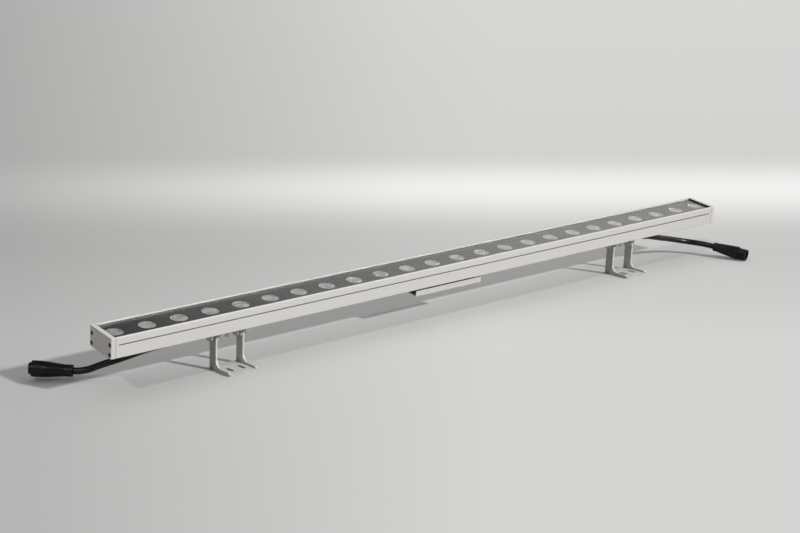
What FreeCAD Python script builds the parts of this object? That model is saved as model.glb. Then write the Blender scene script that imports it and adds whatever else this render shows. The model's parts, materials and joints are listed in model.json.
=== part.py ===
"""Linear wall washer light on two swivelling foot brackets, with a cable lead at each end.

Lengths are millimetres. X runs along the lamp bar, +Y points away from its front, +Z is up and the
light shines upwards. The feet stand on z = 0 and the origin is under the middle of the box that
holds the bar and its feet. The bar is swung a little forwards on its pivots, as the light stands in
use. Its own pieces are drawn about the bar, with y = 0 on its centre plane and z = 0 on its
underside, and are lifted onto the feet and swung when they are written.
"""
import FreeCAD, Part
import math
import os

from FreeCAD import Placement, Rotation, Vector

# ------------------------------------------------------------------ lamp bar
overall_length = 1000.0
bar_width = 46.0
bar_height = 25.0
side_wall = 2.0
edge_round = 1.0
bottom_skin = 1.8
shelf_thickness = 2.0
shelf_top = 9.0
ledge_width = 4.2
ledge_height = 4.5
ledge_top = 18.4
groove_width = 1.4
groove_depth = 1.6
groove_centre = 15.75
groove_end_gap = 3.0

# T-slot in the underside, for the foot brackets
slot_mouth = 6.4
slot_cavity_width = 11.0
slot_cavity_height = 5.2
slot_wall = 1.6

# ------------------------------------------------------------------ end caps
cap_thickness = 5.6
gasket_thickness = 0.4
cap_edge_round = 0.6
cap_screw_side_inset = 3.6
cap_screw_low = 4.5
cap_screw_high = 16.2
cap_screw_radius = 1.5
cap_head_radius = 2.65
cap_head_height = 2.0
cap_head_recess = 0.6
cap_screw_grip = 10.0
cap_port_depth = 16.0
hex_across_flats = 2.5
hex_depth = 1.2

# ------------------------------------------------------------------ optics
lens_count = 24
lens_end_margin = 17.0
lens_radius = 10.3
lens_crown = 1.1
lens_rim_height = 1.5
lens_throat_radius = 5.2
lens_cup_radius = 9.9
led_cavity_radius = 3.4
led_cavity_height = 3.2
mask_thickness = 1.2
seal_thickness = 0.6
seal_width = 1.5
glass_thickness = 3.0
board_thickness = 1.6
board_width = 30.0
board_middle_gap = 1.0
board_end_gap = 3.0
led_size = 3.5
led_height = 0.9
board_screw_radius = 1.25
board_screw_head_radius = 2.6
board_screw_head_height = 1.8
board_screw_step = 3

# ------------------------------------------------------------------ foot brackets
bar_lean = 7.35
bracket_inset = 168.0
foot_width = 40.0
foot_sheet = 2.5
leg_width = 12.8
leg_top_radius = 6.4
leg_rake = 2.6
pivot_height = 40.5
pivot_drop = 12.5
foot_reach = 33.5
flange_height = 4.8
flange_fillet = 9.0
flange_slope_length = 4.5
foot_corner_radius = 3.0
slot_length = 15.5
slot_width = 5.0
slot_spacing = 16.5
slot_middle = 14.8

clip_sheet = 2.0
clip_depth = 36.0
ear_radius = 6.0

# pivot bolts, nuts and washers, and the T-bolt that holds the clip
bolt_radius = 2.5
bolt_head_across_flats = 8.0
bolt_head_height = 3.5
nut_height = 4.0
washer_radius = 5.0
washer_thickness = 1.0
thread_end = 2.5
tee_head_length = 10.4
tee_head_width = 8.8
tee_head_height = 3.0
tee_bolt_end = 15.5

# ------------------------------------------------------------------ wiring cover under the bar
cover_middle = -6.5
cover_length = 109.5
cover_depth = 40.0
cover_sheet = 1.5
cover_wall_height = 7.2
cover_drop = 10.0
cover_boss_radius = 3.5
cover_screw_radius = 1.5
cover_head_radius = 2.8
cover_head_height = 1.9
cover_screw_inset = 14.0
cover_screw_side = 12.0
cover_screw_bite = 4.0

# ------------------------------------------------------------------ glands and cables
cable_radius = 4.0
gland_gap = 32.0
gland_length = 7.0
gland_radius = 5.6
gland_spigot_radius = 3.0
gland_axis_drop = 5.5
boot_length = 14.0
boot_root_radius = 5.2
boot_tip_radius = 4.7
boot_drop_left = 3.0
boot_drop_right = 14.0
straight_out_left = 10.0
straight_out_right = 16.0

# Points of each cable between its boot and its connector. The first value is the distance from the
# bar's own end back towards its middle, and the others are y and z in the standing frame.
cable_left_points = [(82.0, 12.1, 43.2), (63.0, 26.6, 35.8), (47.0, 41.1, 27.1), (30.0, 56.1, 19.6)]
cable_right_points = [(77.8, 12.1, 34.0), (54.0, 16.6, 27.9), (30.8, 14.6, 22.0), (16.5, 6.1, 19.0)]

# The left connector is held just off the floor by its cable. The right one rests on its front edge.
# Each has the place where its cable enters, its heading on the floor and its length.
plug_left_entry = (4.8, 78.5, 11.5)
plug_left_heading = 140.3
plug_left_rise = 3.7
plug_left_length = 47.0
plug_right_entry = (-1.1, -23.2, 15.0)
plug_right_heading = -69.5
plug_right_length = 50.0
straight_in_left = 12.0
straight_in_right = 13.0
collar_groove_depth = 0.5
collar_groove_length = 1.2
socket_collar_radius = 7.0
socket_collar_length = 9.5
socket_rear_radius = 7.1
socket_grip_radius = 9.0
socket_taper_length = 18.0
pin_collar_radius = 6.4
pin_collar_length = 6.0
pin_rear_radius = 6.7
pin_grip_radius = 9.2
pin_taper_length = 26.0
coupling_nut_radius = 9.4
coupling_nut_length = 14.3
coupling_nut_floor = 1.6
coupling_nut_chamfer = 0.6
spigot_wall = 1.2
nut_flutes = 18
nut_flute_radius = 0.5
insert_radius = 5.6
insert_proud = 3.0
contact_radius = 0.8
contact_circle = 3.0
contact_count = 4
contact_depth = 8.0
ring_radius = 8.2
ring_wall = 1.3
ring_floor = 1.6
ring_neck_radius = 7.2
ring_neck_length = 1.8
ring_length = 11.0
thread_pitch = 1.6
thread_depth = 0.5

# ------------------------------------------------------------------ clearances
slide_play = 0.1
turn_play = 0.1
bore_play = 0.05
side_play = 0.2
lens_play = 0.1
hole_play = 0.2
end_play = 0.5
rest_play = 0.02
edge_match = 1e-6
arc_share = 0.48
end_arc_share = 0.8
tilt_rounds = 20

# ------------------------------------------------------------------ sizes that follow
bar_underside = pivot_height + pivot_drop
lean_cosine = math.cos(math.radians(bar_lean))
lean_sine = math.sin(math.radians(bar_lean))
bar_back = bar_width / 2 * lean_cosine - pivot_drop * lean_sine
bar_middle = (foot_reach - bar_back) / 2
half_body = overall_length / 2 - cap_thickness - gasket_thickness
inner_half_width = bar_width / 2 - side_wall
lens_pitch = (overall_length - 2 * lens_end_margin) / (lens_count - 1)
bracket_place = overall_length / 2 - bracket_inset
gland_inner_face = bracket_place + gland_gap
slot_roof = bottom_skin + slot_cavity_height
mask_top = ledge_top + mask_thickness
glass_bottom = mask_top + seal_thickness
glass_top = glass_bottom + glass_thickness
board_top = shelf_top + board_thickness
lens_top = glass_bottom - lens_play
cap_screw_side = bar_width / 2 - cap_screw_side_inset
ear_outer = foot_width / 2 - foot_sheet - turn_play - side_play
ear_inner = ear_outer - clip_sheet
gland_face = gland_inner_face + gland_length
bar_pivot = Vector(0, bar_middle, pivot_height)


def box(x, y, z):
    """A box given by its low and high value along each axis."""
    return Part.makeBox(x[1] - x[0], y[1] - y[0], z[1] - z[0], Vector(x[0], y[0], z[0]))


def rod(radius, start, length, along=Vector(0, 0, 1)):
    """A solid cylinder from a start point."""
    return Part.makeCylinder(radius, length, Vector(*start), along)


def hexagon(across_flats, height, start, along=Vector(0, 0, 1)):
    """A six-sided prism from a start point."""
    corner = across_flats / math.sqrt(3)
    points = [Vector(corner * math.cos(math.radians(60 * side)),
                     corner * math.sin(math.radians(60 * side)), 0) for side in range(7)]
    prism = Part.Face(Part.makePolygon(points)).extrude(Vector(0, 0, height))
    prism.Placement = Placement(Vector(*start), Rotation(Vector(0, 0, 1), along))
    return prism


def revolved(profile):
    """A solid turned from (radius, height) points about the Z axis."""
    points = [Vector(radius, 0, height) for radius, height in profile]
    face = Part.Face(Part.makePolygon(points + points[:1]))
    return face.revolve(Vector(0, 0, 0), Vector(0, 0, 1), 360)


def long_edges(shape):
    """The edges of a shape that run all the way along X."""
    whole = shape.BoundBox.XLength
    return [edge for edge in shape.Edges if abs(edge.BoundBox.XLength - whole) < edge_match]


def swung(shape):
    """Swing a piece forwards with the bar, about the pivot bolts."""
    return shape.rotated(bar_pivot, Vector(1, 0, 0), bar_lean)


def swung_point(point):
    """The place of a point that swings forwards with the bar."""
    return bar_pivot + Rotation(Vector(1, 0, 0), bar_lean).multVec(point - bar_pivot)


def upright(shape):
    """Lift a piece from the bar's own frame to its height, not yet swung."""
    return shape.translated(Vector(0, bar_middle, bar_underside))


def on_feet(shape):
    """Lift a piece from the bar's own frame onto the feet and swing it with the bar."""
    return swung(upright(shape))


def standing(shape):
    """Set a piece drawn on the floor under the bar's centre plane into the standing frame."""
    return shape.translated(Vector(0, bar_middle, 0))


def write(node, shape):
    """Check one piece and write it under its own name."""
    solids = shape.Solids
    assert solids and all(solid.isValid() and solid.Volume > 0 for solid in solids), node
    shape.exportStep("parts/" + node + ".step")
    print(node, len(solids), round(shape.Volume, 1))


def lens_places():
    """X of every lens, left to right."""
    return [(index - (lens_count - 1) / 2) * lens_pitch for index in range(lens_count)]


def cap_screw_places():
    """(y, z) of the four screws of one end cap."""
    return [(side * cap_screw_side, height) for side in (-1, 1)
            for height in (cap_screw_low, cap_screw_high)]


def board_screw_places():
    """X of the board screws: midway between two lenses, a few lenses apart on each board."""
    places = lens_places()
    half = lens_count // 2
    gaps = [x + lens_pitch / 2 for x in places[half:-1]]
    chosen = gaps[::board_screw_step]
    return [side * x for side in (-1, 1) for x in chosen]


# ------------------------------------------------------------------ bar pieces
def housing():
    """The extruded body: lamp trough above, T-slot and two hollows below."""
    along = (-half_body, half_body)
    body = box(along, (-bar_width / 2, bar_width / 2), (0, bar_height))
    body = body.makeFillet(edge_round, long_edges(body))
    trough = inner_half_width
    ledge_edge = inner_half_width - ledge_width
    cuts = [
        box(along, (-trough, trough), (shelf_top, ledge_top - ledge_height)),
        box(along, (-ledge_edge, ledge_edge), (ledge_top - ledge_height, ledge_top)),
        box(along, (-trough, trough), (ledge_top, bar_height)),
        box(along, (-slot_mouth / 2, slot_mouth / 2), (0, bottom_skin)),
        box(along, (-slot_cavity_width / 2, slot_cavity_width / 2), (bottom_skin, slot_roof)),
    ]
    hollow_inner = slot_cavity_width / 2 + slot_wall
    for side in (-1, 1):
        reach = sorted((side * hollow_inner, side * ledge_edge))
        cuts.append(box(along, reach, (bottom_skin, shelf_top - shelf_thickness)))
        groove = sorted((side * (bar_width / 2 - groove_depth), side * bar_width / 2))
        groove_half = half_body - groove_end_gap
        cuts.append(box((-groove_half, groove_half), groove,
                        (groove_centre - groove_width / 2, groove_centre + groove_width / 2)))
        spigot = (side * (gland_inner_face + gland_length / 2), 0, slot_roof)
        cuts.append(rod(gland_spigot_radius + bore_play, spigot, shelf_top - slot_roof))
        for y, z in cap_screw_places():
            cuts.append(rod(cap_screw_radius + bore_play, (side * half_body, y, z), cap_port_depth,
                            Vector(-side, 0, 0)))
    for x in board_screw_places():
        cuts.append(rod(board_screw_radius + bore_play, (x, 0, shelf_top - shelf_thickness),
                        shelf_thickness))
    for x, y in cover_screw_places():
        cuts.append(rod(cover_screw_radius + bore_play, (x, y, 0), bottom_skin))
    return body.cut(cuts)


def end_cap(side):
    """One end plate with four counterbored holes; side is -1 on the left and 1 on the right."""
    inner = half_body + gasket_thickness
    outer = inner + cap_thickness
    plate = box((inner, outer), (-bar_width / 2, bar_width / 2), (0, bar_height))
    plate = plate.makeFillet(edge_round, long_edges(plate))
    rim = [edge for edge in plate.Edges if edge.BoundBox.XMin > outer - edge_match]
    plate = plate.makeFillet(cap_edge_round, rim)
    outwards = Vector(1, 0, 0)
    deep = cap_head_height + cap_head_recess
    for y, z in cap_screw_places():
        plate = plate.cut(rod(cap_screw_radius + hole_play, (inner, y, z), cap_thickness, outwards))
        plate = plate.cut(rod(cap_head_radius + hole_play, (outer - deep, y, z), deep, outwards))
    return mirrored(plate, side)


def mirrored(shape, side):
    """The shape itself for the right side, or its mirror image for the left."""
    return shape if side > 0 else shape.mirror(Vector(0, 0, 0), Vector(1, 0, 0))


def end_gasket(side):
    """The thin seal between the body and one end plate."""
    plate = box((half_body, half_body + gasket_thickness), (-bar_width / 2, bar_width / 2),
                (0, bar_height))
    plate = plate.makeFillet(edge_round, long_edges(plate))
    for y, z in cap_screw_places():
        plate = plate.cut(rod(cap_screw_radius + hole_play, (half_body, y, z), gasket_thickness,
                              Vector(1, 0, 0)))
    return mirrored(plate, side)


def end_cap_screws():
    """Eight socket head screws in the counterbores of the two end plates."""
    screws = []
    outer = half_body + gasket_thickness + cap_thickness
    for y, z in cap_screw_places():
        face = outer - cap_head_recess
        seat = face - cap_head_height
        grip = seat - half_body + cap_screw_grip
        screw = rod(cap_head_radius, (seat, y, z), cap_head_height, Vector(1, 0, 0))
        screw = screw.fuse(rod(cap_screw_radius, (seat - grip, y, z), grip, Vector(1, 0, 0)))
        socket = hexagon(hex_across_flats, hex_depth, (face - hex_depth, y, z), Vector(1, 0, 0))
        screw = screw.cut(socket)
        screws += [mirrored(screw, side) for side in (-1, 1)]
    return Part.makeCompound(screws)


def lens_mask():
    """The black plate that frames the lenses, resting on the two ledges."""
    half = half_body - end_play
    width = inner_half_width - side_play
    plate = box((-half, half), (-width, width), (ledge_top, mask_top))
    holes = [rod(lens_radius + lens_play, (x, 0, ledge_top), mask_thickness) for x in lens_places()]
    return plate.cut(holes)


def glass_seal():
    """The rubber frame between the mask and the glass."""
    half = half_body - end_play
    width = inner_half_width - side_play
    frame = box((-half, half), (-width, width), (mask_top, glass_bottom))
    opening = box((seal_width - half, half - seal_width), (seal_width - width, width - seal_width),
                  (mask_top, glass_bottom))
    return frame.cut(opening)


def glass_cover():
    """The flat toughened glass."""
    half = half_body - end_play
    width = inner_half_width - side_play
    return box((-half, half), (-width, width), (glass_bottom, glass_top))


def lens(x):
    """One collimating lens: a cup over its LED, a straight rim and a low crown."""
    rim_bottom = lens_top - lens_crown - lens_rim_height
    rim_top = lens_top - lens_crown
    crown_radius = (lens_radius ** 2 + lens_crown ** 2) / (2 * lens_crown)
    half_angle = math.asin(lens_radius / crown_radius) / 2
    crown_middle = Vector(crown_radius * math.sin(half_angle), 0,
                          lens_top - crown_radius * (1 - math.cos(half_angle)))
    corners = [Vector(0, 0, board_top + led_cavity_height),
               Vector(led_cavity_radius, 0, board_top + led_cavity_height),
               Vector(led_cavity_radius, 0, board_top), Vector(lens_throat_radius, 0, board_top),
               Vector(lens_cup_radius, 0, rim_bottom), Vector(lens_radius, 0, rim_bottom),
               Vector(lens_radius, 0, rim_top)]
    edges = [Part.LineSegment(low, high).toShape() for low, high in zip(corners, corners[1:])]
    top = Vector(0, 0, lens_top)
    edges.append(Part.Arc(corners[-1], crown_middle, top).toShape())
    edges.append(Part.LineSegment(top, corners[0]).toShape())
    solid = Part.Face(Part.Wire(edges)).revolve(Vector(0, 0, 0), Vector(0, 0, 1), 360)
    return solid.translated(Vector(x, 0, 0))


def led_board(side):
    """One circuit board; the two meet near the middle of the bar."""
    reach = sorted((side * board_middle_gap / 2, side * (half_body - board_end_gap)))
    board = box(reach, (-board_width / 2, board_width / 2), (shelf_top, board_top))
    holes = [rod(board_screw_radius + hole_play, (x, 0, shelf_top), board_thickness)
             for x in board_screw_places() if x * side > 0]
    return board.cut(holes)


def led_emitters():
    """One small LED package under each lens."""
    half = led_size / 2
    return Part.makeCompound([box((x - half, x + half), (-half, half),
                                  (board_top, board_top + led_height)) for x in lens_places()])


def board_screws():
    """Pan head screws that hold the boards to the shelf."""
    screws = []
    for x in board_screw_places():
        head = rod(board_screw_head_radius, (x, 0, board_top), board_screw_head_height)
        grip = board_top - shelf_top + shelf_thickness - end_play
        screws.append(head.fuse(rod(board_screw_radius, (x, 0, board_top - grip), grip)))
    return Part.makeCompound(screws)


# ------------------------------------------------------------------ wiring cover
def cover_screw_places():
    """(x, y) of the four screws of the wiring cover."""
    reach = cover_length / 2 - cover_screw_inset
    return [(cover_middle + end * reach, side * cover_screw_side)
            for end in (-1, 1) for side in (-1, 1)]


def wiring_cover():
    """An upturned channel below the bar, held off it by four bosses."""
    ends = (cover_middle - cover_length / 2, cover_middle + cover_length / 2)
    half = cover_depth / 2
    floor = -cover_drop
    cover = box(ends, (-half, half), (floor, floor + cover_sheet))
    for side in (-1, 1):
        wall = sorted((side * (half - cover_sheet), side * half))
        cover = cover.fuse(box(ends, wall, (floor, floor + cover_wall_height)))
    for x, y in cover_screw_places():
        cover = cover.fuse(rod(cover_boss_radius, (x, y, floor), cover_drop))
    holes = [rod(cover_screw_radius + hole_play, (x, y, floor), cover_drop)
             for x, y in cover_screw_places()]
    return cover.removeSplitter().cut(holes)


def cover_screws():
    """Four pan head screws from below, through the bosses into the bar."""
    screws = []
    for x, y in cover_screw_places():
        head = rod(cover_head_radius, (x, y, -cover_drop - cover_head_height), cover_head_height)
        shank = rod(cover_screw_radius, (x, y, -cover_drop), cover_drop + cover_screw_bite)
        screws.append(head.fuse(shank))
    return Part.makeCompound(screws)


# ------------------------------------------------------------------ foot brackets
def foot_outline():
    """Side outline of a leg and its flange, as a face in the YZ plane at x = 0."""
    half = leg_width / 2
    heel = Vector(0, half + leg_rake, 0)
    rake = math.atan(leg_rake / pivot_height)
    front_height = flange_height + flange_fillet * (1 + math.sin(rake))
    front = Vector(0, leg_rake * (1 - front_height / pivot_height) - half, front_height)
    centre = Vector(0, front.y - flange_fillet * math.cos(rake), flange_height + flange_fillet)
    toe = Vector(0, centre.y, flange_height)
    halfway = (rake - math.pi / 2) / 2
    middle = centre + Vector(0, math.cos(halfway), math.sin(halfway)) * flange_fillet
    ramp = Vector(0, flange_slope_length - foot_reach, flange_height)
    back_shoulder = Vector(0, half, pivot_height)
    front_shoulder = Vector(0, -half, pivot_height)
    edges = [
        Part.LineSegment(heel, back_shoulder).toShape(),
        Part.Arc(back_shoulder, Vector(0, 0, pivot_height + leg_top_radius), front_shoulder).toShape(),
        Part.LineSegment(front_shoulder, front).toShape(),
        Part.Arc(front, middle, toe).toShape(),
        Part.LineSegment(toe, ramp).toShape(),
        Part.LineSegment(ramp, Vector(0, -foot_reach, foot_sheet)).toShape(),
        Part.LineSegment(Vector(0, -foot_reach, foot_sheet), Vector(0, -foot_reach, 0)).toShape(),
        Part.LineSegment(Vector(0, -foot_reach, 0), heel).toShape(),
    ]
    return Part.Face(Part.Wire(edges))


def foot(x):
    """One folded foot: a floor plate with two slots between two legs with flanges."""
    half = foot_width / 2
    outline = foot_outline()
    whole = outline.translated(Vector(x - half, 0, 0)).extrude(Vector(foot_width, 0, 0))
    inner = half - foot_sheet
    between = box((x - inner, x + inner), (-foot_reach, leg_width),
                  (foot_sheet, pivot_height + foot_width))
    body = whole.cut(between)
    plan = box((x - half, x + half), (-foot_reach, leg_width), (0, pivot_height + foot_width))
    corners = [edge for edge in plan.Edges if edge.BoundBox.ZLength > pivot_height
               and edge.BoundBox.YMax < edge_match - foot_reach]
    body = body.common(plan.makeFillet(foot_corner_radius, corners))
    bore = rod(bolt_radius + bore_play, (x - half, 0, pivot_height), foot_width, Vector(1, 0, 0))
    cuts = [bore]
    for side in (-1, 1):
        middle = x + side * slot_spacing / 2
        straight = (slot_length - slot_width) / 2
        cuts.append(box((middle - slot_width / 2, middle + slot_width / 2),
                        (-slot_middle - straight, straight - slot_middle), (0, foot_sheet)))
        for end in (-1, 1):
            cuts.append(rod(slot_width / 2, (middle, end * straight - slot_middle, 0), foot_sheet))
    return body.cut(cuts)


def clip(x):
    """The folded clip that slides under the bar and carries the pivot bolts in its two ears."""
    top = bar_underside - slide_play
    plate = box((x - ear_outer, x + ear_outer), (-clip_depth / 2, clip_depth / 2),
                (top - clip_sheet, top))
    for side in (-1, 1):
        wall = sorted((x + side * ear_inner, x + side * ear_outer))
        ear = box(wall, (-ear_radius, ear_radius), (pivot_height, top - clip_sheet))
        tip = rod(ear_radius, (wall[0], 0, pivot_height), clip_sheet, Vector(1, 0, 0))
        plate = plate.fuse([ear, tip])
    hole_radius = bolt_radius + hole_play
    holes = [rod(hole_radius, (x - ear_outer, 0, pivot_height), 2 * ear_outer, Vector(1, 0, 0)),
             rod(hole_radius, (x, 0, top - clip_sheet), clip_sheet)]
    return plate.removeSplitter().cut(holes)


def clip_fixing(x):
    """T-bolt in the bar's slot and the nut below that clamps the clip."""
    slot_floor = bar_underside + bottom_skin
    head = box((x - tee_head_width / 2, x + tee_head_width / 2),
               (-tee_head_length / 2, tee_head_length / 2),
               (slot_floor + slide_play, slot_floor + slide_play + tee_head_height))
    end = bar_underside - tee_bolt_end
    shank = rod(bolt_radius, (x, 0, end), slot_floor + slide_play - end)
    nut_bottom = bar_underside - slide_play - clip_sheet - nut_height
    nut = hexagon(bolt_head_across_flats, nut_height, (x, 0, nut_bottom))
    nut = nut.cut(rod(bolt_radius, (x, 0, nut_bottom), nut_height))
    return Part.makeCompound([head.fuse(shank), nut])


def pivot_stacks(x):
    """Where each leg's bolt, washer and nut start: (head seat, washer seat, nut seat) on X."""
    leg_outer = foot_width / 2
    outside = leg_outer + turn_play
    left = {"head": x - ear_inner, "washer": x - outside - washer_thickness,
            "nut": x - outside - washer_thickness - nut_height}
    right = {"head": x + outside + washer_thickness, "washer": x + outside,
             "nut": x + ear_inner - nut_height}
    return [left, right]


def pivot_bolts(x):
    """Two hex bolts pushed in from the right, one through each leg and ear."""
    bolts = []
    for stack in pivot_stacks(x):
        head = hexagon(bolt_head_across_flats, bolt_head_height, (stack["head"], 0, pivot_height),
                       Vector(1, 0, 0))
        end = stack["nut"] - thread_end
        bolts.append(head.fuse(rod(bolt_radius, (end, 0, pivot_height), stack["head"] - end,
                                   Vector(1, 0, 0))))
    return Part.makeCompound(bolts)


def pivot_nuts(x):
    """The nuts on the left end of the two pivot bolts."""
    nuts = []
    for stack in pivot_stacks(x):
        start = (stack["nut"], 0, pivot_height)
        nut = hexagon(bolt_head_across_flats, nut_height, start, Vector(1, 0, 0))
        nuts.append(nut.cut(rod(bolt_radius, start, nut_height, Vector(1, 0, 0))))
    return Part.makeCompound(nuts)


def pivot_washers(x):
    """One plain washer outside each leg."""
    washers = []
    for stack in pivot_stacks(x):
        start = (stack["washer"], 0, pivot_height)
        washer = rod(washer_radius, start, washer_thickness, Vector(1, 0, 0))
        washers.append(washer.cut(rod(bolt_radius, start, washer_thickness, Vector(1, 0, 0))))
    return Part.makeCompound(washers)


# ------------------------------------------------------------------ glands and cables
def boot_direction(side, drop):
    """Unit direction of a cable boot that points outwards and a little down."""
    return Vector(side * math.cos(math.radians(drop)), 0, -math.sin(math.radians(drop)))


def boot_start(side):
    """Centre of a gland's outer face in the standing frame, before the bar is swung."""
    return Vector(side * gland_face, bar_middle, bar_underside - gland_axis_drop)


def gland(side, drop):
    """Cable outlet under the bar: a body with a spigot up into the slot, and a tapered boot."""
    reach = sorted((side * gland_inner_face, side * gland_face))
    body = rod(gland_radius, (reach[0], 0, -gland_axis_drop), gland_length, Vector(1, 0, 0))
    body = body.fuse(box(reach, (-gland_radius, gland_radius), (-gland_axis_drop, 0)))
    spigot_x = side * (gland_inner_face + gland_length / 2)
    body = body.fuse(rod(gland_spigot_radius, (spigot_x, 0, -gland_axis_drop),
                         gland_axis_drop + shelf_top))
    body = upright(body.removeSplitter())
    axis = boot_direction(side, drop)
    root = boot_start(side) - axis * boot_tuck()
    boot = Part.makeCone(boot_root_radius, boot_tip_radius, boot_length + boot_tuck(), root, axis)
    return swung(body.fuse(boot).removeSplitter())


def boot_tuck():
    """How far a boot's cone starts inside the gland body."""
    return gland_length / 2


def unit(heading, tilt):
    """Unit direction from a heading in the floor plane and a tilt down, in degrees."""
    level = math.cos(math.radians(tilt))
    return Vector(level * math.cos(math.radians(heading)), level * math.sin(math.radians(heading)),
                  -math.sin(math.radians(tilt)))


def from_end(side, point):
    """A point given by its distance from one end of the bar, in the standing frame."""
    inwards, y, z = point
    return Vector(side * (overall_length / 2 - inwards), y, z)


def plug_tilt(entry, front_radius):
    """The tilt at which a connector's front edge just rests on the floor."""
    tilt = 0.0
    for _ in range(tilt_rounds):
        front_height = front_radius * math.cos(math.radians(tilt)) + rest_play
        tilt = math.degrees(math.asin((entry[2] - front_height) / plug_right_length))
    return tilt


def cable_route(side, drop, straight_out, points, entry, direction, straight_in):
    """All points of one cable, from its boot's tip to its connector."""
    axis = boot_direction(side, drop)
    tip = boot_start(side) + axis * boot_length
    arrival = from_end(side, entry)
    straight = swung_point(tip + axis * straight_out)
    return [swung_point(tip), straight, *[from_end(side, point) for point in points],
            arrival - direction * straight_in, arrival]


def cable(name, route):
    """A round cable along straight runs joined by tangent arcs."""
    edges = []
    start = route[0]
    length = 0.0
    corners = list(zip(route, route[1:], route[2:]))
    for place, (before, corner, after) in enumerate(corners):
        arriving = corner - before
        leaving = after - corner
        turn = arriving.getAngle(leaving)
        share_before = end_arc_share if place == 0 else arc_share
        share_after = end_arc_share if place == len(corners) - 1 else arc_share
        reach = min(share_before * arriving.Length, share_after * leaving.Length)
        bend = reach / math.tan(turn / 2)
        arriving.normalize()
        leaving.normalize()
        entry = corner - arriving * reach
        exit_point = corner + leaving * reach
        inward = leaving - arriving
        inward.normalize()
        middle = corner + inward * (bend / math.cos(turn / 2) - bend)
        edges.append(Part.LineSegment(start, entry).toShape())
        edges.append(Part.Arc(entry, middle, exit_point).toShape())
        length += (entry - start).Length + bend * turn
        print(name, "turn", round(math.degrees(turn), 1), "radius", round(bend, 1))
        start = exit_point
    edges.append(Part.LineSegment(start, route[-1]).toShape())
    length += (route[-1] - start).Length
    section = Part.Wire(Part.makeCircle(cable_radius, route[0], route[1] - route[0]))
    tube = Part.Wire(edges).makePipeShell([section], True, False)
    expected = math.pi * cable_radius ** 2 * length
    print(name, "length", round(length, 1))
    print(name, "volume", round(tube.Volume, 1), "expected", round(expected, 1))
    return tube


# ------------------------------------------------------------------ connectors
def along_plug(shape, side, entry, direction):
    """Lay a connector piece, drawn along +Z from its cable end, where it rests on the floor."""
    shape.Placement = Placement(from_end(side, entry), Rotation(Vector(0, 0, 1), direction))
    return shape


def grip_profile(collar, rear_radius, front_radius, taper_length, grip_end):
    """(radius, height) points of a connector's collar, groove and widening grip."""
    collar_radius, collar_length = collar
    waist = collar_radius - collar_groove_depth
    taper_start = collar_length + collar_groove_length
    return [(0, 0), (collar_radius, 0), (collar_radius, collar_length), (waist, collar_length),
            (waist, taper_start), (rear_radius, taper_start),
            (front_radius, taper_start + taper_length), (front_radius, grip_end)]


def contact_places():
    """(x, y) of the contacts of a connector."""
    angles = [2 * math.pi * index / contact_count for index in range(contact_count)]
    return [(contact_circle * math.cos(angle), contact_circle * math.sin(angle)) for angle in angles]


def socket_body():
    """Moulded grip of the left connector, with the spigot that carries its coupling nut."""
    grip_end = plug_left_length - coupling_nut_length - turn_play
    spigot = insert_radius + spigot_wall
    front = plug_left_length + insert_proud
    points = grip_profile((socket_collar_radius, socket_collar_length), socket_rear_radius,
                          socket_grip_radius, socket_taper_length, grip_end)
    points += [(spigot, grip_end), (spigot, front), (insert_radius, front), (insert_radius, grip_end),
               (0, grip_end)]
    return revolved(points)


def socket_insert():
    """The contact block with its sockets at the front of the left connector."""
    back = plug_left_length - coupling_nut_length - turn_play
    front = plug_left_length + insert_proud
    block = rod(insert_radius, (0, 0, back), front - back)
    for x, y in contact_places():
        block = block.cut(rod(contact_radius, (x, y, front - contact_depth), contact_depth))
    return block


def coupling_nut():
    """The fluted ring that turns freely round the left connector's spigot."""
    front = plug_left_length
    back = front - coupling_nut_length
    floor = back + coupling_nut_floor
    bore = ring_radius + turn_play
    neck = insert_radius + spigot_wall + turn_play
    ring = revolved([(neck, back), (coupling_nut_radius, back),
                     (coupling_nut_radius, front - coupling_nut_chamfer),
                     (coupling_nut_radius - coupling_nut_chamfer, front), (bore, front),
                     (bore, floor), (neck, floor)])
    flutes = []
    for index in range(nut_flutes):
        angle = 2 * math.pi * index / nut_flutes
        place = (coupling_nut_radius * math.cos(angle), coupling_nut_radius * math.sin(angle), floor)
        flutes.append(rod(nut_flute_radius, place, coupling_nut_length - 2 * coupling_nut_floor))
    return ring.cut(flutes)


def pin_body():
    """Moulded grip of the right connector."""
    neck_end = plug_right_length - ring_length
    grip_end = neck_end - ring_neck_length
    points = grip_profile((pin_collar_radius, pin_collar_length), pin_rear_radius, pin_grip_radius,
                          pin_taper_length, grip_end)
    points += [(ring_neck_radius, grip_end), (ring_neck_radius, neck_end), (0, neck_end)]
    return revolved(points)


def threaded_ring():
    """The threaded socket of the right connector, with its pins."""
    back = plug_right_length - ring_length
    turns = int((ring_length - 2 * thread_pitch) / thread_pitch)
    points = [(0, back), (ring_radius, back)]
    for index in range(turns):
        low = back + thread_pitch * (index + 1)
        points += [(ring_radius, low), (ring_radius - thread_depth, low + thread_pitch / 4),
                   (ring_radius - thread_depth, low + thread_pitch / 2),
                   (ring_radius, low + 3 * thread_pitch / 4)]
    bore = ring_radius - ring_wall
    floor = back + ring_floor
    points += [(ring_radius, plug_right_length), (bore, plug_right_length), (bore, floor), (0, floor)]
    pins = [rod(contact_radius, (x, y, back), ring_floor + contact_depth) for x, y in contact_places()]
    return revolved(points).fuse(pins)


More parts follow.
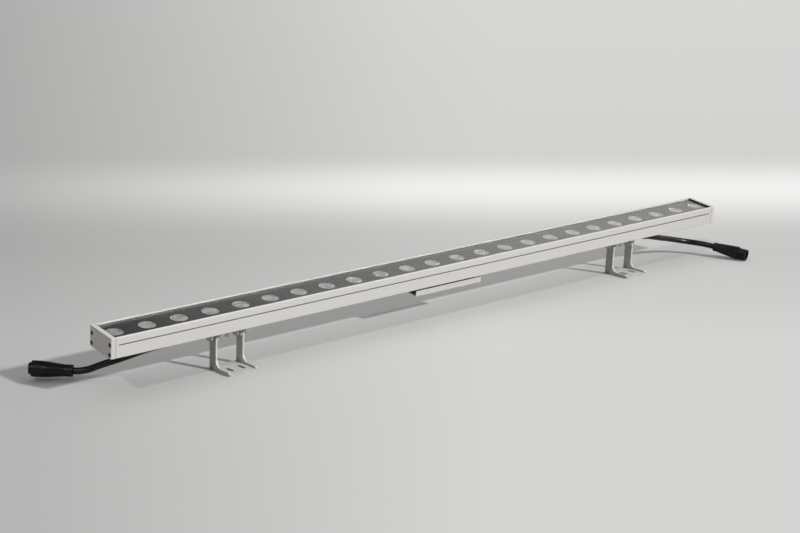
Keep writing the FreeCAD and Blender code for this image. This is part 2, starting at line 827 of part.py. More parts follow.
# ------------------------------------------------------------------ assembly
def write_bar():
    """Everything that belongs to the bar itself."""
    write("housing", on_feet(housing()))
    for side, name in ((-1, "left"), (1, "right")):
        write("end_cap_" + name, on_feet(end_cap(side)))
        write("end_gasket_" + name, on_feet(end_gasket(side)))
        write("led_board_" + name, on_feet(led_board(side)))
    write("end_cap_screws", on_feet(end_cap_screws()))
    write("lens_mask", on_feet(lens_mask()))
    write("glass_seal", on_feet(glass_seal()))
    write("glass_cover", on_feet(glass_cover()))
    write("led_emitters", on_feet(led_emitters()))
    write("board_screws", on_feet(board_screws()))
    for index, x in enumerate(lens_places()):
        write("lens_%02d" % (index + 1), on_feet(lens(x)))
    write("wiring_cover", on_feet(wiring_cover()))
    write("cover_screws", on_feet(cover_screws()))


def write_brackets():
    """The two foot brackets with their clips and fixings."""
    for side, name in ((-1, "left"), (1, "right")):
        x = side * bracket_place
        write("foot_" + name, standing(foot(x)))
        write("clip_" + name, swung(standing(clip(x))))
        write("clip_fixing_" + name, swung(standing(clip_fixing(x))))
        write("pivot_bolts_" + name, swung(standing(pivot_bolts(x))))
        write("pivot_nuts_" + name, swung(standing(pivot_nuts(x))))
        write("pivot_washers_" + name, swung(standing(pivot_washers(x))))


def write_leads():
    """The two glands, cables and connectors."""
    write("gland_left", gland(-1, boot_drop_left))
    write("gland_right", gland(1, boot_drop_right))
    left = unit(plug_left_heading, -plug_left_rise)
    right = unit(plug_right_heading, plug_tilt(plug_right_entry, ring_radius))
    print("left connector axis", left, "right connector axis", right)
    route = cable_route(-1, boot_drop_left, straight_out_left, cable_left_points, plug_left_entry, left,
                        straight_in_left)
    print("left route", [tuple(round(value, 2) for value in point) for point in route])
    write("cable_left", cable("left", route))
    route = cable_route(1, boot_drop_right, straight_out_right, cable_right_points, plug_right_entry,
                        right, straight_in_right)
    print("right route", [tuple(round(value, 2) for value in point) for point in route])
    write("cable_right", cable("right", route))
    write("socket_body", along_plug(socket_body(), -1, plug_left_entry, left))
    write("socket_insert", along_plug(socket_insert(), -1, plug_left_entry, left))
    write("coupling_nut", along_plug(coupling_nut(), -1, plug_left_entry, left))
    write("pin_body", along_plug(pin_body(), 1, plug_right_entry, right))
    write("threaded_ring", along_plug(threaded_ring(), 1, plug_right_entry, right))


os.makedirs("parts", exist_ok=True)
write_bar()
write_brackets()
write_leads()
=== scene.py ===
"""Linear wall washer light on two swivelling foot brackets, dressed for rendering.

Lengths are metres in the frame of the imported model: X along the lamp bar, +Y away from its front,
+Z up, and the feet on z = 0. The bar is swung a little forwards on its feet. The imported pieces
keep their places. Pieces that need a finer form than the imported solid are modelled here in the
same place and stand for it.
"""
import json
import logging
import math
from dataclasses import dataclass, field, replace
from enum import Enum
from typing import Callable, Iterable, Sequence

import bpy
from mathutils import Matrix, Vector

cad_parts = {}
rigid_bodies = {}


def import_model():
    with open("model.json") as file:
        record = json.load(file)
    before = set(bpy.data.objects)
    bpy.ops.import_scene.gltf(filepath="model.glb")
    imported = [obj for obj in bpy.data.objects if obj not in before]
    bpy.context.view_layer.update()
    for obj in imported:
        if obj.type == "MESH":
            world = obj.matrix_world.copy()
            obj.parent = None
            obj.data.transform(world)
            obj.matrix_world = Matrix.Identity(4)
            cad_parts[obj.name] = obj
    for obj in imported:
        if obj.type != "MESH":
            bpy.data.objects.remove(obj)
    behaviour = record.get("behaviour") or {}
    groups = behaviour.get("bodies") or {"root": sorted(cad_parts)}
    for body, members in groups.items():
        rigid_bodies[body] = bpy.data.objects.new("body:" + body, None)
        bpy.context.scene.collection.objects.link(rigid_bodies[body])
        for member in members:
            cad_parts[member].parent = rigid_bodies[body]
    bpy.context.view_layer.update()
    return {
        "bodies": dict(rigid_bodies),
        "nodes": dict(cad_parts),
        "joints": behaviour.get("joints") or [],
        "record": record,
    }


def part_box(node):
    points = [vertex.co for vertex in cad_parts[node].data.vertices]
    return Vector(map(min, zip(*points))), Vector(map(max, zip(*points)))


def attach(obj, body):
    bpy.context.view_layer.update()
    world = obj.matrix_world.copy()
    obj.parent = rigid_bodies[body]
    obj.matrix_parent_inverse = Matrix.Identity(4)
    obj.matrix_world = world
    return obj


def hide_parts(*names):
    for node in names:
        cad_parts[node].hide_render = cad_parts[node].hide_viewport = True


LOG = logging.getLogger("wall_washer")
BAR_PIVOT = (0.0, 0.00615, 0.0405)
BAR_LEAN = 7.35
BAR_UNDERSIDE = 0.053
BAR_HALF_WIDTH = 0.023

Colour = tuple[float, float, float]
Point = tuple[float, float, float]
Span = tuple[float, float]
Value = bpy.types.NodeSocket | float | tuple
BLACK: Colour = (0.0, 0.0, 0.0)


class Slot(str, Enum):
    """The material slots of the record."""

    PAINTED_BODY = "painted_body"
    PAINTED_BRACKET = "painted_bracket"
    SEAL_RUBBER = "seal_rubber"
    DARK_SCREW = "dark_screw"
    BLACK_PLATE = "black_plate"
    COVER_GLASS = "cover_glass"
    LENS_CLEAR = "lens_clear"
    BOARD_WHITE = "board_white"
    LED_YELLOW = "led_yellow"
    STAINLESS = "stainless"
    BLACK_MOULDING = "black_moulding"
    CABLE_RUBBER = "cable_rubber"
    BLACK_NUT = "black_nut"


class Body(str, Enum):
    """The bodies that pieces ride on."""

    LAMP = "lamp"
    CLIP_LEFT = "clip_left"
    CLIP_RIGHT = "clip_right"
    FOOT_LEFT = "foot_left"
    FOOT_RIGHT = "foot_right"
    COUPLING_NUT = "coupling_nut"


# ------------------------------------------------------------------ materials
class Canvas:
    """Adds and links the nodes of one material, world or node group."""

    def __init__(self, tree: bpy.types.NodeTree) -> None:
        """Start on a node tree, emptied of the nodes that Blender puts in it."""
        tree.nodes.clear()
        self.tree = tree

    def add(self, kind: str, inputs: dict | None = None,
            **attributes: object) -> bpy.types.Node:
        """Add a node.

        Args:
            kind: The node's type name without its ShaderNode prefix.
            inputs: Values or source sockets by input name or index.
            **attributes: Properties of the node itself.

        Returns:
            The new node.
        """
        node = self.tree.nodes.new("ShaderNode" + kind)
        for name, value in attributes.items():
            setattr(node, name, value)
        for key, value in (inputs or {}).items():
            self.feed(node.inputs[key], value)
        return node

    def feed(self, socket: bpy.types.NodeSocket, value: Value) -> None:
        """Link a source socket to an input, or write a constant on it.

        Args:
            socket: The input.
            value: The source socket or the constant.
        """
        if isinstance(value, bpy.types.NodeSocket):
            self.tree.links.new(value, socket)
        elif isinstance(value, tuple) and len(value) == 3 and socket.type == "RGBA":
            socket.default_value = (*value, 1.0)
        else:
            socket.default_value = value

    def blend(self, factor: Value, first: Value, second: Value,
              mode: str = "MIX") -> bpy.types.NodeSocket:
        """Mix two colours.

        Args:
            factor: Share of the second colour.
            first: The colour at a factor of 0.
            second: The colour at a factor of 1.
            mode: The blend type.

        Returns:
            The result's socket.
        """
        node = self.add("Mix", data_type="RGBA", blend_type=mode)
        for key, value in ((0, factor), (6, first), (7, second)):
            self.feed(node.inputs[key], value)
        return node.outputs[2]

    def compute(self, operation: str, first: Value, second: Value = 0.0,
                clamp: bool = False) -> bpy.types.NodeSocket:
        """Apply one math operation and give the result's socket."""
        node = self.add("Math", {0: first, 1: second}, operation=operation, use_clamp=clamp)
        return node.outputs[0]

    def ramp(self, value: Value, low: float, high: float, to_low: float = 0.0,
             to_high: float = 1.0) -> bpy.types.NodeSocket:
        """Map a value from one range to another, held at both ends.

        Args:
            value: The value's socket.
            low: Value that gives the first result.
            high: Value that gives the last result.
            to_low: The first result.
            to_high: The last result.

        Returns:
            The result's socket.
        """
        node = self.add("MapRange", {"Value": value, "From Min": low, "From Max": high,
                                     "To Min": to_low, "To Max": to_high})
        return node.outputs[0]

    def place(self) -> bpy.types.NodeSocket:
        """The piece's own coordinates."""
        return self.add("TexCoord").outputs["Object"]

    def noise(self, vector: Value, scale: float, detail: float = 2.0,
              roughness: float = 0.5) -> bpy.types.NodeSocket:
        """Add a noise over the surface.

        Args:
            vector: Socket of the coordinates.
            scale: Spots per metre.
            detail: Number of finer layers.
            roughness: Strength of the finer layers.

        Returns:
            The socket of the noise value.
        """
        node = self.add("TexNoise", {"Vector": vector, "Scale": scale, "Detail": detail,
                                     "Roughness": roughness})
        return node.outputs[0]


class EffectLibrary:
    """The node groups that several materials share."""

    def __init__(self) -> None:
        """Build every group once."""
        self.grain = self._grain()
        self.dust = self._dust()
        self.streaks = self._streaks()
        self.painted_crevice_shade = self._painted_crevice_shade()

    @staticmethod
    def _open(name: str, inputs: Sequence[tuple[str, str, object]],
              outputs: Sequence[tuple[str, str]]) -> tuple:
        """Make a group with its sockets.

        Args:
            name: The group's name.
            inputs: Name, socket type and default value of each input.
            outputs: Name and socket type of each output.

        Returns:
            The group tree, its canvas, its input node and its output node.
        """
        tree = bpy.data.node_groups.new(name, "ShaderNodeTree")
        canvas = Canvas(tree)
        for label, kind, value in inputs:
            socket = tree.interface.new_socket(name=label, in_out="INPUT",
                                               socket_type="NodeSocket" + kind)
            if value is not None:
                socket.default_value = value
        for label, kind in outputs:
            tree.interface.new_socket(name=label, in_out="OUTPUT", socket_type="NodeSocket" + kind)
        entry = tree.nodes.new("NodeGroupInput")
        leave = tree.nodes.new("NodeGroupOutput")
        return tree, canvas, entry, leave

    def _grain(self) -> bpy.types.NodeTree:
        """Fine grain for the relief, with soft patches of tone and roughness.

        Returns:
            The group tree.
        """
        tree, canvas, entry, leave = self._open(
            "surface_grain",
            [("Vector", "Vector", None), ("Colour", "Color", (0.5, 0.5, 0.5, 1.0)),
             ("Second Colour", "Color", (0.4, 0.4, 0.4, 1.0)), ("Patch Scale", "Float", 12.0),
             ("Patch Amount", "Float", 0.3), ("Grain Scale", "Float", 900.0),
             ("Roughness", "Float", 0.5), ("Roughness Spread", "Float", 0.1)],
            [("Colour", "Color"), ("Roughness", "Float"), ("Height", "Float")])
        at = entry.outputs
        patch = canvas.noise(at["Vector"], 1.0, 3.0)
        canvas.feed(patch.node.inputs["Scale"], at["Patch Scale"])
        fine = canvas.noise(at["Vector"], 1.0, 2.0, 0.6)
        canvas.feed(fine.node.inputs["Scale"], at["Grain Scale"])
        mask = canvas.ramp(patch, 0.35, 0.65)
        amount = canvas.compute("MULTIPLY", mask, at["Patch Amount"])
        canvas.feed(leave.inputs["Colour"], canvas.blend(amount, at["Colour"], at["Second Colour"]))
        centred = canvas.compute("SUBTRACT", canvas.compute("ADD", mask, fine), 1.0)
        spread = canvas.compute("MULTIPLY", centred, at["Roughness Spread"])
        canvas.feed(leave.inputs["Roughness"], canvas.compute("ADD", at["Roughness"], spread, True))
        canvas.feed(leave.inputs["Height"], fine)
        return tree

    def _dust(self) -> bpy.types.NodeTree:
        """A thin film of dust that gathers in loose clouds.

        Returns:
            The group tree.
        """
        tree, canvas, entry, leave = self._open(
            "settled_dust",
            [("Vector", "Vector", None), ("Colour", "Color", (0.5, 0.5, 0.5, 1.0)),
             ("Dust Colour", "Color", (0.55, 0.53, 0.5, 1.0)), ("Amount", "Float", 0.1)],
            [("Colour", "Color")])
        at = entry.outputs
        cloud = canvas.ramp(canvas.noise(at["Vector"], 22.0, 5.0, 0.65), 0.42, 0.7)
        speck = canvas.ramp(canvas.noise(at["Vector"], 1400.0, 1.0), 0.6, 0.7, 0.3, 1.0)
        film = canvas.compute("MULTIPLY", cloud, speck)
        mask = canvas.compute("MULTIPLY", film, at["Amount"], True)
        canvas.feed(leave.inputs["Colour"], canvas.blend(mask, at["Colour"], at["Dust Colour"]))
        return tree

    def _streaks(self) -> bpy.types.NodeTree:
        """Fine lines along X, as extruding or brushing leaves them.

        Returns:
            The group tree.
        """
        tree, canvas, entry, leave = self._open(
            "drawn_streaks", [("Vector", "Vector", None), ("Scale", "Float", 400.0)],
            [("Height", "Float")])
        stretched = canvas.add("VectorMath", {0: entry.outputs["Vector"], 1: (0.02, 1.0, 1.0)},
                               operation="MULTIPLY")
        lines = canvas.noise(stretched.outputs[0], 1.0, 3.0, 0.7)
        canvas.feed(lines.node.inputs["Scale"], entry.outputs["Scale"])
        canvas.feed(leave.inputs["Height"], lines)
        return tree

    def _painted_crevice_shade(self) -> bpy.types.NodeTree:
        """Painted shade: a darker colour where other surfaces stand close by, standing in for the
        shade that falls in gaps.

        Returns:
            The group tree.
        """
        tree, canvas, entry, leave = self._open(
            "crevice_shade",
            [("Colour", "Color", (0.5, 0.5, 0.5, 1.0)),
             ("Painted Shade Colour", "Color", (0.05, 0.047, 0.043, 1.0)), ("Amount", "Float", 0.5),
             ("Reach", "Float", 0.004)],
            [("Colour", "Color")])
        at = entry.outputs
        # Painted shade: ambient occlusion darkens the base colour here, in place of real shade in
        # gaps.
        near = canvas.add("AmbientOcclusion", {"Distance": at["Reach"]}, samples=8)
        shut = canvas.ramp(near.outputs["AO"], 0.2, 0.8, 1.0, 0.0)
        mask = canvas.compute("MULTIPLY", shut, at["Amount"])
        canvas.feed(leave.inputs["Colour"], canvas.blend(mask, at["Colour"], at["Painted Shade Colour"]))
        return tree


@dataclass(frozen=True)
class Finish:
    """One opaque finish.

    Attributes:
        colour: Base colour.
        second: Colour of the soft patches.
        patch_scale: Patches per metre.
        patch_amount: How far the patches go to the second colour.
        grain_scale: Grains per metre.
        relief: Height of the grain in metres.
        rough: Mean roughness.
        rough_spread: How far the roughness varies.
        metallic: Metallic value.
        dust: Amount of settled dust.
        streaks: Share of the relief that runs along X.
        shine: Specular level of a finish that is not metal.
        painted_crevice_shade: How much painted shade darkens the colour in narrow gaps.
        painted_shade_reach: How close the other side of such a gap is for the painted shade.
    """

    colour: Colour
    second: Colour
    patch_scale: float = 14.0
    patch_amount: float = 0.35
    grain_scale: float = 1800.0
    relief: float = 0.00002
    rough: float = 0.45
    rough_spread: float = 0.1
    metallic: float = 0.0
    dust: float = 0.05
    streaks: float = 0.0
    shine: float = 0.5
    painted_crevice_shade: float = 0.0
    painted_shade_reach: float = 0.0035

    def build(self, name: str, effects: EffectLibrary) -> bpy.types.Material:
        """Make the material.

        Args:
            name: The material's name.
            effects: The shared node groups.

        Returns:
            The finished material.
        """
        material = bpy.data.materials.new(name)
        material.use_nodes = True
        canvas = Canvas(material.node_tree)
        place = canvas.place()
        grain = canvas.add("Group", node_tree=effects.grain)
        for key, value in {"Vector": place, "Colour": self.colour, "Second Colour": self.second,
                           "Patch Scale": self.patch_scale, "Patch Amount": self.patch_amount,
                           "Grain Scale": self.grain_scale, "Roughness": self.rough,
                           "Roughness Spread": self.rough_spread}.items():
            canvas.feed(grain.inputs[key], value)
        dust = canvas.add("Group", node_tree=effects.dust)
        for key, value in {"Vector": place, "Colour": grain.outputs["Colour"],
                           "Amount": self.dust}.items():
            canvas.feed(dust.inputs[key], value)
        colour = dust.outputs["Colour"]
        # Painted shade: the colour is darkened by ambient occlusion where other surfaces stand
        # close by.
        if self.painted_crevice_shade:
            shade = canvas.add("Group", node_tree=effects.painted_crevice_shade)
            for key, value in {"Colour": colour, "Amount": self.painted_crevice_shade,
                               "Reach": self.painted_shade_reach}.items():
                canvas.feed(shade.inputs[key], value)
            colour = shade.outputs["Colour"]
        height = grain.outputs["Height"]
        if self.streaks:
            lines = canvas.add("Group", node_tree=effects.streaks)
            canvas.feed(lines.inputs["Vector"], place)
            drawn = canvas.compute("MULTIPLY", lines.outputs["Height"], self.streaks)
            height = canvas.compute("ADD", height, drawn)
        bump = canvas.add("Bump", {"Height": height, "Strength": 0.6, "Distance": self.relief})
        shader = canvas.add("BsdfPrincipled", {
            "Base Color": colour, "Roughness": grain.outputs["Roughness"],
            "Metallic": self.metallic, "Specular IOR Level": self.shine,
            "Normal": bump.outputs["Normal"]})
        canvas.add("OutputMaterial", {"Surface": shader.outputs[0]})
        return material


@dataclass(frozen=True)
class ClearFinish:
    """Glass or clear plastic.

    Attributes:
        colour: Tint of the light that passes.
        rough: Mean roughness.
        rough_spread: How far the roughness varies.
        index: Index of refraction.
        passing: Transmission weight.
        shadow: How much light passes it in shadow rays.
        relief: Height of the surface ripple in metres.
        ripple_scale: Ripples per metre.
    """

    colour: Colour
    rough: float
    rough_spread: float
    index: float
    passing: float
    shadow: float
    relief: float
    ripple_scale: float

    def build(self, name: str, effects: EffectLibrary) -> bpy.types.Material:
        """Make the material.

        Args:
            name: The material's name.
            effects: The shared node groups.

        Returns:
            The finished material.
        """
        material = bpy.data.materials.new(name)
        material.use_nodes = True
        canvas = Canvas(material.node_tree)
        place = canvas.place()
        grain = canvas.add("Group", node_tree=effects.grain)
        for key, value in {"Vector": place, "Colour": self.colour, "Second Colour": self.colour,
                           "Grain Scale": self.ripple_scale, "Roughness": self.rough,
                           "Roughness Spread": self.rough_spread}.items():
            canvas.feed(grain.inputs[key], value)
        bump = canvas.add("Bump", {"Height": grain.outputs["Height"], "Strength": 0.5,
                                   "Distance": self.relief})
        shader = canvas.add("BsdfPrincipled", {
            "Base Color": grain.outputs["Colour"], "Roughness": grain.outputs["Roughness"],
            "IOR": self.index, "Transmission Weight": self.passing, "Metallic": 0.0,
            "Normal": bump.outputs["Normal"]})
        through = canvas.add("BsdfTransparent", {"Color": (self.shadow,) * 3})
        is_shadow = canvas.add("LightPath").outputs["Is Shadow Ray"]
        mix = canvas.add("MixShader", {0: is_shadow, 1: shader.outputs[0], 2: through.outputs[0]})
        canvas.add("OutputMaterial", {"Surface": mix.outputs[0]})
        return material


# Painted shade: the finishes with a crevice amount are darkened in narrow gaps, where shade falls.
FINISHES: dict[Slot, Finish | ClearFinish] = {
    Slot.PAINTED_BODY: Finish((0.61, 0.598, 0.574), (0.635, 0.592, 0.565), patch_scale=5.0,
                              patch_amount=0.6, rough=0.42, dust=0.04, streaks=0.4, painted_crevice_shade=0.85),
    Slot.PAINTED_BRACKET: Finish((0.58, 0.58, 0.555), (0.54, 0.54, 0.52), rough=0.45, dust=0.08,
                                 painted_crevice_shade=0.6, painted_shade_reach=0.012),
    Slot.SEAL_RUBBER: Finish((0.012, 0.012, 0.012), (0.02, 0.02, 0.019), rough=0.7, dust=0.12),
    Slot.DARK_SCREW: Finish((0.09, 0.09, 0.09), (0.05, 0.05, 0.05), grain_scale=3000.0, rough=0.42,
                            metallic=0.85, dust=0.1),
    Slot.BLACK_PLATE: Finish((0.012, 0.012, 0.012), (0.018, 0.018, 0.018), rough=0.6, dust=0.02,
                             shine=0.2),
    Slot.COVER_GLASS: ClearFinish((0.96, 0.98, 0.97), 0.02, 0.02, 1.5, 1.0, 0.9, 0.000001, 60.0),
    Slot.LENS_CLEAR: ClearFinish((0.6, 0.62, 0.61), 0.26, 0.08, 1.49, 0.72, 0.8, 0.00002, 900.0),
    Slot.BOARD_WHITE: Finish((0.7, 0.7, 0.68), (0.62, 0.63, 0.6), rough=0.4, dust=0.02),
    Slot.LED_YELLOW: Finish((0.75, 0.52, 0.09), (0.68, 0.42, 0.05), rough=0.35, dust=0.0),
    Slot.STAINLESS: Finish((0.72, 0.71, 0.69), (0.6, 0.6, 0.58), patch_scale=90.0,
                           grain_scale=4000.0, relief=0.00001, rough=0.26, metallic=1.0, dust=0.04,
                           streaks=0.5, painted_crevice_shade=0.7, painted_shade_reach=0.006),
    Slot.BLACK_MOULDING: Finish((0.009, 0.009, 0.009), (0.014, 0.014, 0.013), grain_scale=2600.0,
                                relief=0.00003, rough=0.36, dust=0.04, shine=0.4),
    Slot.CABLE_RUBBER: Finish((0.009, 0.009, 0.0085), (0.014, 0.014, 0.013), grain_scale=2200.0,
                              relief=0.00003, rough=0.38, dust=0.04, shine=0.45),
    Slot.BLACK_NUT: Finish((0.01, 0.01, 0.01), (0.017, 0.017, 0.016), grain_scale=3200.0,
                           relief=0.00002, rough=0.34, dust=0.03, shine=0.4),
}
# Painted shade: the wiring cover's paint with deeper, wider-reaching painted shade, which darkens
# its open end.
WIRING_COVER_DEEP_SHADE = replace(FINISHES[Slot.PAINTED_BODY], painted_crevice_shade=0.95, painted_shade_reach=0.03)
SEALANT = Finish((0.72, 0.7, 0.64), (0.6, 0.58, 0.52), grain_scale=900.0, rough=0.5, dust=0.15)


class MaterialLibrary:
    """Every material of the object, by the record's slot."""

    def __init__(self) -> None:
        """Build the shared effects and all materials."""
        self.effects = EffectLibrary()
        self._made = {slot: finish.build(slot.value, self.effects)
                      for slot, finish in FINISHES.items()}
        self.special = {"sealant": SEALANT.build("sealant", self.effects),
                        "wiring_cover": WIRING_COVER_DEEP_SHADE.build("painted_cover_deep_shade", self.effects)}

    def dress(self, piece: bpy.types.Object, slot: Slot,
              material: bpy.types.Material | None = None) -> None:
        """Give a piece the finish of a slot.

        Args:
            piece: The object to dress.
            slot: The record's slot.
            material: A finish of its own in place of the slot's.
        """
        piece.data.materials.clear()
        piece.data.materials.append(material or self._made[slot])


# ------------------------------------------------------------------ modelling
class Bench:
    """The modelling operators that the sub-assemblies share."""

    @staticmethod
    def clear() -> None:
        """Deselect every object."""
        for item in bpy.context.selected_objects:
            item.select_set(False)

    @classmethod
    def activate(cls, piece: bpy.types.Object) -> None:
        """Make one piece the only selected and the active one.

        Args:
            piece: The object.
        """
        cls.clear()
        piece.select_set(True)
        bpy.context.view_layer.objects.active = piece

    @classmethod
    def cylinder(cls, name: str, radius: float, low: Point, length: float,
                 sides: int) -> bpy.types.Object:
        """Add a closed upright cylinder that stands on a point.

        Args:
            name: The new object's name.
            radius: Its radius.
            low: Centre of its lower end.
            length: Its length.
            sides: Number of sides.

        Returns:
            The new object.
        """
        x, y, z = low
        cls.clear()
        bpy.ops.mesh.primitive_cylinder_add(vertices=sides, radius=radius, depth=length,
                                            location=(x, y, z + length / 2))
        piece = bpy.context.object
        piece.name = piece.data.name = name
        cls.settle(piece)
        return piece

    @classmethod
    def settle(cls, piece: bpy.types.Object) -> None:
        """Write the object's own place, turn and scale into its mesh."""
        cls.activate(piece)
        bpy.ops.object.transform_apply(location=True, rotation=True, scale=True)

    @classmethod
    def pick_faces(cls, piece: bpy.types.Object,
                   wanted: Callable[[bpy.types.MeshPolygon], bool]) -> None:
        """Enter edit mode with some faces selected.

        Args:
            piece: The object to edit.
            wanted: Says which faces are picked.
        """
        cls.activate(piece)
        bpy.ops.object.mode_set(mode="EDIT")
        bpy.ops.mesh.select_mode(type="FACE")
        bpy.ops.mesh.select_all(action="DESELECT")
        bpy.ops.object.mode_set(mode="OBJECT")
        for polygon in piece.data.polygons:
            polygon.select = wanted(polygon)
        bpy.ops.object.mode_set(mode="EDIT")

    @staticmethod
    def leave_edit() -> None:
        """Go back to object mode."""
        bpy.ops.object.mode_set(mode="OBJECT")

    @staticmethod
    def step(inset: float, rise: float) -> None:
        """Inset the selected end face, then move it along Z.

        Args:
            inset: How far it is inset.
            rise: How far it is moved.
        """
        if inset:
            bpy.ops.mesh.inset(thickness=inset, depth=0.0)
        if rise:
            bpy.ops.transform.translate(value=(0.0, 0.0, rise))

    @staticmethod
    def repeat(piece: bpy.types.Object, name: str, shift: Vector) -> bpy.types.Object:
        """Copy a finished piece with its own mesh, moved to another place.

        Args:
            piece: The finished piece.
            name: The copy's name.
            shift: How far it is moved.

        Returns:
            The copy.
        """
        twin = piece.copy()
        twin.data = piece.data.copy()
        twin.name = twin.data.name = name
        twin.data.transform(Matrix.Translation(shift))
        bpy.context.collection.objects.link(twin)
        return twin


def swing(piece: bpy.types.Object) -> None:
    """Turn a piece, drawn on the upright bar, forwards with the bar about its pivots.

    Args:
        piece: The finished piece.
    """
    pivot = Vector(BAR_PIVOT)
    turn = Matrix.Rotation(math.radians(BAR_LEAN), 4, "X")
    piece.data.transform(Matrix.Translation(pivot) @ turn @ Matrix.Translation(-pivot))


# ------------------------------------------------------------------ camera, floor and light
@dataclass
class PhotoCamera:
    """The camera that the photograph was fitted with.

    Attributes:
        place: Its place.
        yaw: Angle from +Y towards +X that it looks along, in radians.
        pitch: Angle that it looks down by, in radians.
        focal_pixels: Its focal length in pixels of the photograph.
        image_width: Width of the photograph in pixels.
        sensor: Width of its sensor in millimetres.
    """

    place: Point = (-1.360976, -1.553435, 0.622356)
    yaw: float = 0.6911572
    pitch: float = 0.2632098
    focal_pixels: float = 1670.12
    image_width: float = 800.0
    sensor: float = 36.0

    def build(self) -> None:
        """Make the camera and set it on the scene."""
        data = bpy.data.cameras.new("photo_camera")
        data.sensor_width = self.sensor
        data.lens = self.focal_pixels / self.image_width * self.sensor
        camera = bpy.data.objects.new("photo_camera", data)
        forward = Vector((math.sin(self.yaw) * math.cos(self.pitch),
                          math.cos(self.yaw) * math.cos(self.pitch), -math.sin(self.pitch)))
        right = Vector((math.cos(self.yaw), -math.sin(self.yaw), 0.0))
        above = right.cross(forward)
        matrix = Matrix((right, above, -forward)).transposed().to_4x4()
        matrix.translation = Vector(self.place)
        camera.matrix_world = matrix
        bpy.context.collection.objects.link(camera)
        bpy.context.scene.camera = camera


